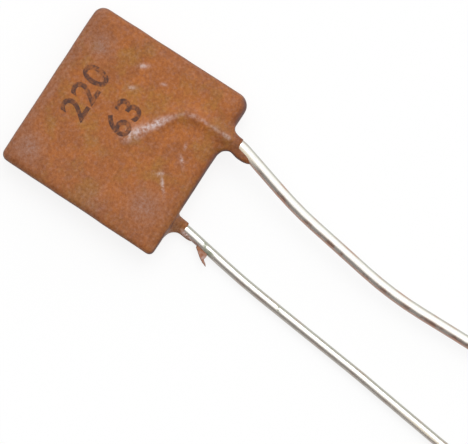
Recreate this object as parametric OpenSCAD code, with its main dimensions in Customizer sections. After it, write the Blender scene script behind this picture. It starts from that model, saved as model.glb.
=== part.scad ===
// Square plate ceramic capacitor: a ceramic plate with a metal film on each face, a wire soldered
// to each film, and a dipped coat of lacquer over all but the leads.
// The origin is midway between the leads, on the edge that they leave and at mid thickness.
// The leads run towards -Y and the front face looks along +Z. Sizes are in millimetres.

/* [Ceramic plate] */
// Width of the plate, along the edge that the leads leave
plate_w = 11.1; // [9:0.05:16]
// Height of the plate, away from the leads
plate_h = 10.85; // [9:0.05:16]
// Thickness of the plate
plate_t = 0.7; // [0.4:0.05:1.5]

/* [Electrode films] */
// Thickness of a film
film_t = 0.05; // [0.02:0.01:0.1]
// Bare rim of ceramic around a film
film_margin = 0.5; // [0.2:0.05:1]
// Corner radius of a film
film_corner_r = 0.6; // [0.2:0.05:1.5]

/* [Leads] */
// Diameter of the wire
lead_d = 0.66; // [0.5:0.01:0.9]
// Diameter of the front lead outside, where its tinning is thick
front_lead_d = 0.78; // [0.5:0.01:0.95]
// Spacing of the wires where they leave the lacquer
lead_pitch = 6.35; // [5.08:0.01:7.5]
// Length of each wire beyond the seating edge
lead_l = 28; // [22:0.5:40]
// Straight run of a wire inside, from the seating edge to its bend
entry_run = 2.2; // [1.5:0.05:3]
// Turn of the bend inside
entry_turn = 57; // [40:1:80]
// Radius of the bend inside, on the wire's centre line
entry_bend_r = 1.8; // [1.4:0.1:2.4]
// Straight tail after the bend inside
tail_l = 3.3; // [2:0.1:3.5]
// Radius of the bend that lets the front lead down to the surface that the part lies on
dip_bend_r = 3; // [2:0.5:5]

/* [Front lead bends] */
// Straight run before the bend at the collar
front_run_a = 0.4; // [0.3:0.1:1.5]
// Turn of that bend towards -X
front_turn_a = 15.7; // [5:0.1:25]
// Radius of that bend
front_bend_r = 3; // [2:0.5:6]
// Straight run before the first sweep
front_run_b = 3.5; // [1:0.1:5]
// Turn of the first sweep towards -X
front_turn_b = -6.9; // [-15:0.1:-1]
// Straight run before the second sweep
front_run_c = 4.5; // [1:0.1:6]
// Turn of the second sweep towards -X
front_turn_c = -10.3; // [-15:0.1:-1]
// Radius of both sweeps
front_sweep_r = 25; // [15:1:30]

/* [Back lead bends] */
// Straight run before the bend at the collar
back_run_a = 0.1; // [0.1:0.1:1]
// Turn of that bend towards -X
back_turn_a = 9.3; // [5:0.1:15]
// Radius of that bend
back_bend_r = 3; // [2:0.5:6]
// Straight run before the first sweep
back_run_b = 3.7; // [1:0.1:5]
// Turn of the first sweep towards -X
back_turn_b = -3.6; // [-8:0.1:-1]
// Straight run before the second sweep
back_run_c = 7.4; // [1:0.1:9]
// Turn of the second sweep towards -X
back_turn_c = 1.2; // [0.5:0.1:4]
// Radius of both sweeps
back_sweep_r = 50; // [30:1:60]

/* [Solder joints] */
// Solder between a wire and its film
solder_t = 0.04; // [0.03:0.01:0.06]
// Height that the solder climbs beside the wire, from the film
joint_h = 0.38; // [0.2:0.02:0.45]
// Radius of a joint at its foot
joint_foot_r = 0.9; // [0.6:0.05:1.2]
// Radius of a joint at its top
joint_top_r = 0.5; // [0.4:0.05:0.55]
// Length of tail that a joint covers
joint_l = 1.8; // [1:0.1:2]

/* [Lacquer coat] */
// Lacquer over each film
face_coat = 0.6; // [0.4:0.02:0.7]
// Lacquer around the edges of the plate
edge_coat = 0.4; // [0.2:0.02:0.6]
// Skin of lacquer over the crest of a wire
wire_skin = 0.08; // [0.04:0.01:0.2]
// Radius of the ridge that the lacquer forms over a wire
ridge_r = 0.95; // [0.7:0.05:1]
// How much each side of the coat leans in, from the seating edge to the top
side_taper = 0.07; // [0:0.01:0.15]
// Radius of the corner at the lower left of the front face
seat_corner_r = 0.35; // [0.2:0.05:0.8]
// Radius of the corner at the top left
left_corner_r = 0.5; // [0.2:0.05:0.8]
// Radius of the corner at the top right
top_corner_r = 0.72; // [0.2:0.02:0.9]
// Radius of the corner at the lower right, where the lacquer gathered
drip_corner_r = 0.9; // [0.4:0.05:0.9]
// Length of the collar that the lacquer forms on each lead
collar_l = 0.9; // [0.6:0.05:1.4]
// Radius of the front lead's collar at its root
front_collar_r = 0.79; // [0.5:0.01:0.85]
// Radius of the back lead's collar at its root
back_collar_r = 0.5; // [0.45:0.01:0.85]
// Thickness of the collar at its thin end
collar_lip = 0.04; // [0.02:0.01:0.1]
// Radius of the web that fills the -X side of a collar, at its root
web_r = 0.79; // [0.5:0.01:0.85]
// How far the root of a web reaches from the wire's line
web_reach = 1.35; // [1:0.05:1.6]
// Where the ramp from the far face's edge meets the wire, as a share of the collar's length
ramp_share = 0.65; // [0.5:0.05:0.8]
// Bond line between the lacquer and what it encloses
bond_gap = 0.01; // [0.005:0.005:0.02]

/* [Lacquer run-outs] */
// How far the thick run-out on the front lead reaches from the seating edge
front_tongue_l = 2.1; // [1.6:0.1:2.6]
// Width of that run-out beside the wire's line, where it leaves the web
front_tongue_root_w = 0.68; // [0.5:0.02:0.8]
// Width of that run-out beside the wire's line, where it is widest
front_tongue_w = 0.85; // [0.6:0.01:1]
// How far the thin run-out on the back lead reaches from the seating edge
back_tongue_l = 1.9; // [1.4:0.1:2.1]
// Width of that run-out beside the wire's line, where it leaves the web
back_tongue_root_w = 0.55; // [0.45:0.01:0.6]
// Width of that run-out beside the wire's line, where it is widest
back_tongue_w = 0.62; // [0.55:0.01:0.8]
// Thickness of a run-out
tongue_t = 0.6; // [0.4:0.02:0.7]
// Thickness of a run-out at its tip
tongue_tip_t = 0.2; // [0.1:0.02:0.4]
// Distance from the seating edge at which a run-out is widest
tongue_swell_l = 1.2; // [0.9:0.05:1.4]
// Length of the tapered nose of a run-out
tongue_nose_l = 0.5; // [0.2:0.05:0.6]

/* [Flake] */
// Where the flake begins, from the seating edge
flake_start = 2.2; // [2.2:0.05:3]
// Length of the flake's root along the wire
flake_root = 0.8; // [0.4:0.05:1.2]
// How far the flake's tip stands from the wire's side
flake_reach = 0.6; // [0.3:0.05:0.9]
// How far the tip lies beyond the root
flake_overhang = 0.35; // [0:0.05:0.8]
// Thickness of the flake at its root
flake_t = 0.2; // [0.1:0.02:0.3]
// Thickness of the flake at its tip
flake_tip_t = 0.1; // [0.06:0.02:0.2]

/* [Hidden] */
$fn = 32;
ball_fn = 24;
wire_fn = 32;
bend_fn = 64;
collar_slices = 6;
// How far a collar runs on inside the coat, as a share of its length
collar_root_share = 1;
slice_t = 0.02;
// A bend is a little thicker than the straight wire, which runs on into it
bend_swell = 0.01;
bend_lap = 0.05;
// Bends of each lead outside: straight length, turn towards -X in degrees, bend radius
front_bends = [
    [front_run_a, front_turn_a, front_bend_r],
    [front_run_b, front_turn_b, front_sweep_r],
    [front_run_c, front_turn_c, front_sweep_r]
];
back_bends = [
    [back_run_a, back_turn_a, back_bend_r],
    [back_run_b, back_turn_b, back_sweep_r],
    [back_run_c, back_turn_c, back_sweep_r]
];

// Levels above the middle of the plate
film_z = plate_t / 2 + film_t;
lead_z = film_z + solder_t + lead_d / 2;
face_z = film_z + face_coat;
crest_z = lead_z + lead_d / 2 + wire_skin;
// The part lies on the ridge of its back face
rest_z = max(face_z, crest_z);
ridge_section_r = min(ridge_r, (crest_z + face_z) / 2);

body_w = plate_w + 2 * edge_coat;
body_h = plate_h + 2 * edge_coat;
entry_bend = [[entry_run, entry_turn, entry_bend_r], [tail_l, 0, 0]];
// Radius of each collar at its thin end
front_end_r = front_lead_d / 2 + collar_lip;
back_end_r = lead_d / 2 + collar_lip;

// Wire length used up by one bend and the straight before it
function step_l(step) = step[0] + abs(step[1]) * PI / 180 * step[2];
function bends_l(bends, i = 0) = i < len(bends) ? step_l(bends[i]) + bends_l(bends, i + 1) : 0;

// Distance that a run of bends covers along its first heading, from a lean of a degrees
function reach(bends, a = 0, i = 0) =
    i == len(bends) ? 0 :
    let (step = bends[i], b = a + step[1])
    step[0] * cos(a) + step[2] * sign(step[1]) * (sin(b) - sin(a)) + reach(bends, b, i + 1);

// The bends of a lead followed by the straight run to its free end
function whole_run(bends) = concat(bends, [[lead_l - bends_l(bends), 0, 0]]);
// Dip that lays the free end of the front lead on the surface under the part
front_dip = asin((lead_z + rest_z - front_lead_d / 2) / reach(whole_run(front_bends)));

// A bend of the wire from +Z towards +X, with what follows placed at its end
module bend(d, turn, radius) {
    side = turn < 0 ? 180 : 0;
    angle = abs(turn);
    rotate([0, 0, side]) {
        if (angle > 0)
            translate([radius, 0, 0])
                rotate([90, 0, 180])
                    rotate_extrude(angle = angle, $fn = bend_fn)
                        translate([radius, 0])
                            circle(d = d + bend_swell, $fn = wire_fn);
        translate([radius * (1 - cos(angle)), 0, radius * sin(angle)])
            rotate([0, angle, 0])
                rotate([0, 0, -side])
                    children();
    }
}

// A wire along +Z that follows a list of straights and bends
module wire_run(d, steps, i = 0) {
    if (i < len(steps)) {
        end_lap = i < len(steps) - 1 ? bend_lap : 0;
        translate([0, 0, -bend_lap])
            cylinder(d = d, h = bend_lap + steps[i][0] + end_lap, $fn = wire_fn);
        translate([0, 0, steps[i][0]])
            bend(d, steps[i][1], steps[i][2])
                wire_run(d, steps, i + 1);
    }
}

// Turns the front half of the part over to the back face
module on_back() {
    rotate([0, 180, 0])
        children();
}

// The stretch of a wire inside the lacquer, on the front face, at a height z
module wire_inside(d, z) {
    translate([lead_pitch / 2, 0, z])
        rotate([-90, 180, 0])
            wire_run(d, entry_bend);
}

// Places something at the end of the wire's tail, with +X along the tail towards its bend
module at_tail_end() {
    translate([lead_pitch / 2, entry_run, 0])
        translate([-entry_bend_r * (1 - cos(entry_turn)), entry_bend_r * sin(entry_turn), 0])
            rotate(entry_turn)
                translate([0, tail_l, 0])
                    rotate(-90)
                        children();
}

// The stretch of a wire outside, heading -Y, with +X of its run to -X and +Y of its run downwards
module wire_outside(x, z) {
    translate([x, 0, z])
        rotate([90, 180, 0])
            children();
}

// A gap makes the wire into the cavity that it lies in
module front_wire(gap = 0) {
    outside_d = front_lead_d + 2 * gap;
    wire_inside(lead_d + 2 * gap, lead_z);
    wire_outside(lead_pitch / 2, lead_z)
        rotate(90)
            bend(outside_d, front_dip, dip_bend_r)
                rotate(-90)
                    wire_run(outside_d, whole_run(front_bends));
}

module back_wire(gap = 0) {
    d = lead_d + 2 * gap;
    on_back()
        wire_inside(d, lead_z);
    wire_outside(-lead_pitch / 2, -lead_z)
        wire_run(d, whole_run(back_bends));
}

module plate_form(gap = 0) {
    translate([-plate_w / 2 - gap, edge_coat - gap, -plate_t / 2 - gap])
        cube([plate_w + 2 * gap, plate_h + 2 * gap, plate_t + 2 * gap]);
}

module film_form(gap = 0) {
    w = plate_w - 2 * film_margin;
    h = plate_h - 2 * film_margin;
    translate([-w / 2, edge_coat + film_margin, plate_t / 2])
        linear_extrude(film_t + gap) {
            translate([film_corner_r, -gap])
                square([w - 2 * film_corner_r, h + 2 * gap]);
            translate([-gap, film_corner_r])
                square([w + 2 * gap, h - 2 * film_corner_r]);
            for (x = [film_corner_r, w - film_corner_r], y = [film_corner_r, h - film_corner_r])
                translate([x, y])
                    circle(film_corner_r + gap);
        }
}

module joint_form(gap = 0) {
    at_tail_end()
        translate([0, 0, film_z])
            hull()
                for (x = [0, joint_l])
                    translate([x, 0, 0])
                        cylinder(h = joint_h + gap, r1 = joint_foot_r + gap, r2 = joint_top_r + gap);
}

// Two balls, one above the other, that round a corner of the coat
module corner_balls(x, y, r) {
    ball_r = min(r, face_z);
    for (z = [-1, 1])
        translate([x - sign(x) * ball_r, y == 0 ? ball_r : y - ball_r, z * (face_z - ball_r)])
            sphere(ball_r, $fn = ball_fn);
}

module coat_slab() {
    top_x = body_w / 2 - side_taper;
    hull() {
        corner_balls(-body_w / 2, 0, seat_corner_r);
        corner_balls(-top_x, body_h, left_corner_r);
        corner_balls(top_x, body_h, top_corner_r);
        corner_balls(body_w / 2, 0, drip_corner_r);
    }
}

// The soft ridge over the wire on the front face, round at the tail's end
module coat_ridge() {
    z = crest_z - ridge_section_r;
    wire_inside(2 * ridge_section_r, z);
    at_tail_end()
        translate([0, 0, z])
            sphere(ridge_section_r);
}

// A disc across a lead, at a share u of the collar's length
module collar_disc(u, x, z, r) {
    translate([lead_pitch / 2 + x, -u * collar_l, z])
        rotate([90, 0, 0])
            cylinder(r = r, h = slice_t);
}

// A slice of a collar round the wire and of the web beside it, shrinking from the coat to the wire
module collar_slice(u, root_r, end_r, web_end_w, side) {
    flare = u < 0 ? 1 : 1 - sqrt(1 - pow(1 - u, 2));
    r = end_r + (root_r - end_r) * flare;
    collar_disc(u, 0, lead_z + end_r - r, r);
    web_end_r = tongue_t / 2;
    web_end_x = web_end_w - web_end_r;
    web_x = web_end_x + (web_reach - web_r - web_end_x) * flare;
    web_z = lead_z + (face_z - web_r - collar_lip - lead_z) * flare;
    collar_disc(u, side * web_x, web_z, web_end_r + (web_r - web_end_r) * flare);
}

// The concave collar where the lacquer climbs down a lead of the front face, rooted inside the coat
module coat_collar(root_r, end_r, web_end_w, side) {
    shares = concat(-collar_root_share, [for (i = [0 : collar_slices]) i / collar_slices]);
    for (i = [1 : len(shares) - 1])
        hull() {
            collar_slice(shares[i - 1], root_r, end_r, web_end_w, side);
            collar_slice(shares[i], root_r, end_r, web_end_w, side);
        }
}

// The ramp of lacquer that fills the corner between a collar and the edge of the far face
module collar_ramp(root_r, end_r) {
    hull() {
        translate([lead_pitch / 2, root_r, root_r - face_z])
            sphere(root_r - collar_lip, $fn = ball_fn);
        collar_disc(ramp_share, 0, lead_z, end_r);
    }
}

// A run-out of lacquer down the -X side of a lead that leaves at x
module coat_tongue(x, z, length, width, root_w) {
    side_x = x - width + tongue_t / 2;
    places = [
        [x, 0],
        [x - root_w + tongue_t / 2, -collar_l / 2],
        [side_x, -tongue_swell_l],
        [side_x, tongue_nose_l - length]
    ];
    hull() {
        for (place = places)
            translate([place[0], place[1], z])
                sphere(d = tongue_t, $fn = ball_fn);
        translate([side_x - tongue_tip_t / 2, tongue_tip_t / 2 - length, z])
            sphere(d = tongue_tip_t, $fn = ball_fn);
    }
}

module lacquer_coat() {
    color([0.66, 0.47, 0.24])
        difference() {
            union() {
                coat_slab();
                coat_ridge();
                coat_collar(front_collar_r, front_end_r, front_tongue_root_w, -1);
                collar_ramp(front_collar_r, front_end_r);
                on_back() {
                    coat_ridge();
                    coat_collar(back_collar_r, back_end_r, back_tongue_root_w, 1);
                    collar_ramp(back_collar_r, back_end_r);
                }
                coat_tongue(lead_pitch / 2, lead_z, front_tongue_l, front_tongue_w, front_tongue_root_w);
                coat_tongue(-lead_pitch / 2, -lead_z, back_tongue_l, back_tongue_w, back_tongue_root_w);
            }
            plate_form(bond_gap);
            film_form(bond_gap);
            joint_form(bond_gap);
            on_back() {
                film_form(bond_gap);
                joint_form(bond_gap);
            }
            front_wire(bond_gap);
            back_wire(bond_gap);
        }
}

module ceramic_plate() {
    color([0.86, 0.82, 0.72])
        plate_form();
}

module front_electrode() {
    color([0.8, 0.8, 0.78])
        film_form();
}

module back_electrode() {
    color([0.8, 0.8, 0.78])
        on_back()
            film_form();
}

module front_solder_joint() {
    color([0.68, 0.69, 0.7])
        difference() {
            joint_form();
            front_wire();
        }
}

module back_solder_joint() {
    color([0.68, 0.69, 0.7])
        difference() {
            on_back()
                joint_form();
            back_wire();
        }
}

module front_lead() {
    color([0.82, 0.8, 0.76])
        front_wire();
}

module back_lead() {
    color([0.82, 0.8, 0.76])
        back_wire();
}

// A thin broken fin of lacquer that stands off the -X side of the back lead
module lacquer_flake() {
    lean = back_bends[0][1];
    side = lead_d / 2;
    color([0.55, 0.33, 0.2])
        difference() {
            translate([-lead_pitch / 2, -back_bends[0][0], -lead_z])
                rotate(-lean)
                    hull() {
                        translate([-side, -flake_start, 0])
                            sphere(d = flake_t, $fn = ball_fn);
                        translate([-side, -flake_start - flake_root, 0])
                            sphere(d = flake_t, $fn = ball_fn);
                        translate([-side - flake_reach, -flake_start - flake_root - flake_overhang, 0])
                            sphere(d = flake_tip_t, $fn = ball_fn);
                    }
            back_wire();
        }
}

lacquer_coat();
ceramic_plate();
front_electrode();
back_electrode();
front_solder_joint();
back_solder_joint();
front_lead();
back_lead();
lacquer_flake();
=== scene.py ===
"""Dresses the square plate capacitor: dipped lacquer body, tinned leads, a broken flake and the value."""

import math
from types import SimpleNamespace

import bmesh
import bpy
import numpy as np
from bpy.props import FloatProperty, FloatVectorProperty, PointerProperty, StringProperty
from bpy.types import Operator, Panel, PropertyGroup
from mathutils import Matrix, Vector


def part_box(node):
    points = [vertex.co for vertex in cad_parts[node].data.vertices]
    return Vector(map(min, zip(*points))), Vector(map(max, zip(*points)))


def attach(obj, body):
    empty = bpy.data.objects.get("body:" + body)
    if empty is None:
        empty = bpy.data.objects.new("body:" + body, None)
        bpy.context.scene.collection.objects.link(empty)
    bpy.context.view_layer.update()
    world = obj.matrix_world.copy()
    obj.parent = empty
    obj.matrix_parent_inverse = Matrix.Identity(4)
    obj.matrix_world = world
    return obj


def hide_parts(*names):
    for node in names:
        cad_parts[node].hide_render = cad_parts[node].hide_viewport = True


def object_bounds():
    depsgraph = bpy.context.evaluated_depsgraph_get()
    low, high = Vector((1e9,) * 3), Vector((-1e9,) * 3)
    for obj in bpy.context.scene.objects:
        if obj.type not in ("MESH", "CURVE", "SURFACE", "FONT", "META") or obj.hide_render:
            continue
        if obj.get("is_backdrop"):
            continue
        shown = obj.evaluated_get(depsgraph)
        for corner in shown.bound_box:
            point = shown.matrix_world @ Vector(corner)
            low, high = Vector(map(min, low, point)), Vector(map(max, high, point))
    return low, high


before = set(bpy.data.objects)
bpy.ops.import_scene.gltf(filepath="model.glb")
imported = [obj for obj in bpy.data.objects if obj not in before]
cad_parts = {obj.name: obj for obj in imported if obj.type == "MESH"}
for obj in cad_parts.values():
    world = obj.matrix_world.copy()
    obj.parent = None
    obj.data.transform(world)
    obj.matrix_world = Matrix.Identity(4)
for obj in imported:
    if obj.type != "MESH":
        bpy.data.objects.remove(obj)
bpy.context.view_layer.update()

bl_info = {
    "name": "Plate Capacitor",
    "version": (1, 0, 0),
    "blender": (4, 5, 0),
    "location": "View3D > Sidebar > Capacitor",
    "description": "Models a lacquered square plate capacitor with two wire leads around its frame",
    "category": "Add Mesh",
}

# Pieces are shaped on a bench where one unit is a millimetre, and brought down to metres at the end
MM = 0.001
BODY = "root"

BALL_SEGMENTS = 32
BALL_RINGS = 16
RIDGE_SIDES = 32
WIRE_SIDES = 28
COLLAR_SLICES = 8
BEND_STEP = math.radians(3)

PLATE_LOW, PLATE_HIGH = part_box("ceramic_plate")
FILM_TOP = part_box("front_electrode")[1].z


def number(name, description, default, **settings):
    """A number property, or several numbers in one."""
    kind = FloatVectorProperty if isinstance(default, list) else FloatProperty
    return kind(name=name, description=description, default=default, **settings)


def length(name, description, default):
    """A length, given in millimetres and kept in metres."""
    return number(name, description, default * MM, min=0, unit="LENGTH", precision=5)


def lengths(name, description, *default):
    """Several lengths, given in millimetres and kept in metres."""
    return number(name, description, [part * MM for part in default], size=len(default), unit="LENGTH")


def angle(name, description, degrees):
    """An angle, given in degrees."""
    return number(name, description, math.radians(degrees), unit="ROTATION")


def angles(name, description, *degrees):
    """Three angles, given in degrees."""
    return number(name, description, [math.radians(part) for part in degrees], unit="ROTATION")


def colour(name, description, *screen):
    """A colour, given as on a screen, each part from 0 to 255, and kept as the linear colour."""
    parts = [part / 255 for part in screen]
    linear = [p / 12.92 if p <= 0.04045 else ((p + 0.055) / 1.055) ** 2.4 for p in parts]
    return number(name, description, [*linear, 1.0], size=4, min=0, max=1, subtype="COLOR")


class CoatSizes(PropertyGroup):
    """Sizes of the dipped lacquer body."""

    edge: length("Edge", "Lacquer around the edges of the plate", 0.4)
    face: length("Face", "Lacquer over each film", 0.6)
    taper: length("Taper", "How much each side leans in towards the top", 0.07)
    corners: lengths("Corners", "Radii, from the lower left round to the lower right", 0.35, 0.5, 0.72, 0.9)
    ridge: length("Ridge", "Radius of the ridge over a wire", 0.95)
    crest: length("Crest", "Height of a ridge's crest above mid thickness", 1.18)
    collar: length("Collar Length", "Length of the collar on each lead", 0.9)
    collar_root: lengths("Collar Root", "Radii of the front and back collars at their roots", 0.79, 0.5)
    collar_lip: length("Collar Lip", "Thickness of a collar at its thin end", 0.04)
    web: length("Web", "Radius of the web beside a collar, at its root", 0.79)
    web_reach: length("Web Reach", "How far a web's root reaches to the left of the wire", 1.35)
    ramp: length("Ramp", "Where the ramp from the far face's edge meets a wire", 0.585)
    runout: lengths("Run-out", "Reach of the front and back run-outs", 2.1, 1.9)
    runout_root: lengths("Run-out Root", "Width of the front and back run-outs at the collar", 0.68, 0.55)
    runout_w: lengths("Run-out Width", "Full width of the front and back run-outs", 0.85, 0.62)
    runout_t: length("Run-out Thickness", "Thickness of a run-out", 0.6)
    runout_swell: length("Run-out Swell", "Where a run-out reaches its full width", 1.2)
    runout_tip: length("Run-out Tip", "Thickness of a run-out at its tip", 0.2)
    runout_nose: length("Run-out Nose", "Length of a run-out's tapered nose", 0.5)
    skin: length("Skin Cell", "Cell size of the dipped skin's mesh", 0.075)
    sag: length("Sag", "Unevenness of the dipped skin", 0.05)


class WireSizes(PropertyGroup):
    """Sizes and bends of the two leads."""

    gauge: length("Diameter", "Diameter of the wire", 0.66)
    front_gauge: length("Front Diameter", "Diameter of the front lead outside, thickly tinned", 0.78)
    pitch: length("Pitch", "Spacing of the wires at the seating edge", 6.35)
    height: length("Height", "Height of a wire's centre line above mid thickness", 0.77)
    reach: length("Length", "Length of each wire beyond the seating edge", 28)
    entry: length("Entry", "Straight run inside, from the seating edge to the bend", 2.2)
    entry_radius: length("Entry Bend", "Radius of the bend inside", 1.8)
    tail: length("Tail", "Straight tail after the bend inside", 3.3)
    pace: length("Pace", "Distance between the rings of a straight stretch", 0.12)
    wobble: length("Wobble", "Unevenness of the drawn wire", 0.016)
    entry_turn: angle("Entry Turn", "Turn of the bend inside", 57)
    dip: angle("Dip", "Slope that lays the front lead down", 3.2247)
    front_straights: lengths("Front Straights", "Front lead's straights before each bend", 0.569, 3.5, 4.5)
    front_turns: angles("Front Turns", "Turns of the front lead towards the left", 15.7, -6.9, -10.3)
    front_radii: lengths("Front Radii", "Radii of the front lead's bends", 3, 25, 25)
    back_straights: lengths("Back Straights", "Back lead's straights before each bend", 0.1, 3.7, 7.4)
    back_turns: angles("Back Turns", "Turns of the back lead towards the left", 9.3, -3.6, 1.2)
    back_radii: lengths("Back Radii", "Radii of the back lead's bends", 3, 50, 50)


class FlakeSizes(PropertyGroup):
    """Sizes of the broken flake of lacquer on the back lead."""

    thickness: length("Thickness", "Thickness of the flake", 0.14)


class MarkingSizes(PropertyGroup):
    """The value printed on the front face."""

    value: StringProperty(name="Value", description="Plain numerals of the upper line", default="220")
    rating: StringProperty(name="Rating", description="Plain numerals of the lower line", default="63")
    size: length("Type Size", "Size of the type", 2.45)
    weight: length("Weight", "How much the strokes are fattened", 0.035)
    ink: length("Ink", "Thickness of the ink", 0.012)
    grid: length("Grid", "Mesh size of the ink film", 0.12)
    centre: length("Centre", "How far right of the middle both lines lie", 0.58)
    value_y: length("Upper Line", "Middle of the upper line above the seating edge", 9.2)
    rating_y: length("Lower Line", "Middle of the lower line above the seating edge", 6.25)


class Finishes(PropertyGroup):
    """Colours of the finishes."""

    lacquer: colour("Lacquer", "Main colour of the lacquer", 162, 94, 42)
    lacquer_warm: colour("Warm Lacquer", "Warmer patches of the lacquer", 174, 101, 42)
    # The dark lacquer serves both real darker patches and the painted shade of darker lacquer near the
    # borders, to the left and low down
    lacquer_dark_and_shade: colour("Dark Lacquer", "Darker patches of the lacquer", 124, 72, 42)
    lacquer_ochre: colour("Ochre", "Yellower patches of the lacquer", 158, 107, 46)
    haze: colour("Haze", "Greyish bloom on the lacquer", 146, 108, 92)
    chalk: colour("Chalk", "Scuffed lacquer along the ridge", 214, 202, 202)
    # The rim colour is painted shade: dark lacquer where the front turns over and along the seating edge
    rim: colour("Rim", "Lacquer on the edges", 78, 54, 58)
    tin: colour("Tin", "Bright tinned wire", 250, 248, 240)
    # Painted shade on the wires: duller tin down the left flank, a band low on the left that is partly
    # tarnish and partly painted shade, and a darker line along the right edge
    shaded_tin: colour("Dull Tin", "Tinned wire on the dull side", 226, 208, 196)
    edge_shade_tin: colour("Edge Tin", "Tinned wire along the right edge", 186, 186, 175)
    front_tarnish_and_shade: colour("Front Tarnish", "Brown film low on the front lead's left", 166, 138, 126)
    back_tarnish_and_shade: colour("Back Tarnish", "Grey film low on the back lead's left", 166, 160, 152)
    copper: colour("Copper", "Copper showing through the tin", 184, 124, 96)
    smear: colour("Smear", "Dried flux on the wire", 138, 142, 122)
    # Frost is a painted highlight: pale matt tin where the wire's highlight should run
    frost_highlight: colour("Frost", "Pale matt tin", 244, 232, 208)
    ink: colour("Ink", "Worn ink", 82, 52, 42)
    ceramic: colour("Ceramic", "Fired ceramic", 222, 212, 190)
    silver: colour("Silver", "Fired silver film", 206, 204, 198)
    solder: colour("Solder", "Soft solder", 176, 178, 180)


class StageSettings(PropertyGroup):
    """Floor, light and camera."""

    floor: colour("Floor", "Colour of the floor", 252, 252, 252)
    lift: number("Lift", "How far the floor is lifted to white", 0.84, min=0, max=1, subtype="FACTOR")
    distance: length("Camera Distance", "Height of the camera above the part", 320)
    frame_w: length("Frame Width", "Width that the picture takes in", 30.14)
    aim_x: number("Aim X", "Middle of the picture", -1.1715 * MM, unit="LENGTH")
    aim_y: number("Aim Y", "Middle of the picture", -3.264 * MM, unit="LENGTH")
    roll: angle("Roll", "Turn of the picture about the view", -56.8)
    key: number("Key", "Strength of the key lamp", 1.0, min=0)
    key_spread: angle("Key Spread", "Apparent size of the key lamp", 42)
    sky: number("Sky", "Brightness of the bright side of the room", 1.0, min=0)
    shade: number("Shade", "Brightness of the dim side of the room", 0.3, min=0)


# Bench work


def on_bench(group):
    """The values of a group, with every length in bench units."""
    sizes = {}
    for key, prop in group.bl_rna.properties.items():
        if key in {"rna_type", "name"}:
            continue
        value = getattr(group, key)
        if getattr(prop, "unit", "NONE") == "LENGTH":
            value = [v / MM for v in value] if getattr(prop, "is_array", False) else value / MM
        sizes[key] = value
    return SimpleNamespace(**sizes)


def start_piece(name):
    """An empty mesh at the origin, in edit mode."""
    if bpy.context.object and bpy.context.object.mode != "OBJECT":
        bpy.ops.object.mode_set(mode="OBJECT")
    bpy.ops.object.select_all(action="DESELECT")
    bpy.ops.object.add(type="MESH", enter_editmode=True, location=(0, 0, 0))
    piece = bpy.context.object
    piece.name = name
    piece.data.name = name
    return piece


def stop_editing():
    """Back to object mode."""
    bpy.ops.object.mode_set(mode="OBJECT")


def modify(piece, kind, **settings):
    """Adds a modifier and applies it."""
    modifier = piece.modifiers.new(kind.title(), kind)
    for key, value in settings.items():
        setattr(modifier, key, value)
    bpy.ops.object.modifier_apply(modifier=modifier.name)


def roughen(piece, name, size, depth):
    """Makes a surface uneven with a soft noise of that size and depth."""
    texture = bpy.data.textures.new(name, "CLOUDS")
    texture.noise_scale = size
    texture.noise_depth = 2
    modify(piece, "DISPLACE", texture=texture, strength=depth, mid_level=0.5)


def to_metres(piece):
    """Brings a piece from the bench down to metres."""
    piece.scale = (MM, MM, MM)
    bpy.ops.object.transform_apply(location=True, rotation=True, scale=True)


def mesh_points(piece):
    """Places and normals of a piece's vertices."""
    points = []
    for key in ("co", "normal"):
        values = np.empty(len(piece.data.vertices) * 3)
        piece.data.vertices.foreach_get(key, values)
        points.append(values.reshape(-1, 3))
    return points


def runs_of(line):
    """Distance along a line of points to each of them."""
    return np.concatenate([[0], np.cumsum(np.linalg.norm(np.diff(line, axis=0), axis=1))])


def keep_values(piece, **layers):
    """Stores numbers for each vertex, for the material to read."""
    for name, values in layers.items():
        layer = piece.data.attributes.new(name, "FLOAT", "POINT")
        layer.data.foreach_set("value", np.ascontiguousarray(values, dtype=np.float32))


def ease(values, low, high):
    """0 below low, 1 above high and an even curve between them."""
    share = np.clip((values - low) / (high - low), 0, 1)
    return share * share * (3 - 2 * share)


def seat(piece, material, slot, *nodes):
    """Gives a piece its finish, its body and the nodes that it stands for."""
    piece.data.materials.clear()
    piece.data.materials.append(material)
    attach(piece, BODY)
    if nodes:
        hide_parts(*nodes)


def hull_of_balls(balls):
    """Wraps balls, each a place and a radius, in one skin with what else is in sight and puts it aside."""
    for place, radius in balls:
        bpy.ops.mesh.primitive_uv_sphere_add(
            segments=BALL_SEGMENTS, ring_count=BALL_RINGS, radius=radius, location=place
        )
    bpy.ops.mesh.select_all(action="SELECT")
    bpy.ops.mesh.convex_hull()
    bpy.ops.mesh.hide(unselected=False)


def ring_across(place, heading, radius, sides):
    """A ring of edges across a heading in the XY plane."""
    bpy.ops.mesh.primitive_circle_add(
        vertices=sides,
        radius=radius,
        fill_type="NOTHING",
        location=place,
        rotation=(math.pi / 2, 0, heading + math.pi / 2),
    )


def draw_out(step, turn=0.0, swell=1.0, centre=(0, 0, 0)):
    """Extrudes the selected ring by a step, then turns and swells it about its new centre."""
    bpy.ops.mesh.extrude_region_move(TRANSFORM_OT_translate={"value": step})
    if turn:
        bpy.ops.transform.rotate(value=-turn, orient_axis="Z", center_override=centre)
    if swell != 1.0:
        bpy.ops.transform.resize(value=(swell, swell, swell), center_override=centre)


def sweep(rings, sides):
    """Draws a tube through rings, each a place, a heading and a radius."""
    ring_across(*rings[0], sides)
    for (place, heading, radius), (onward, turned, wider) in zip(rings, rings[1:]):
        draw_out(onward - place, turned - heading, wider / radius, onward)


def close_ends():
    """Fills the open ends of a tube and turns its faces outwards."""
    bpy.ops.mesh.select_all(action="SELECT")
    bpy.ops.mesh.select_non_manifold(extend=False)
    bpy.ops.mesh.fill_holes(sides=0)
    bpy.ops.mesh.select_all(action="SELECT")
    bpy.ops.mesh.normals_make_consistent(inside=False)


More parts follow.
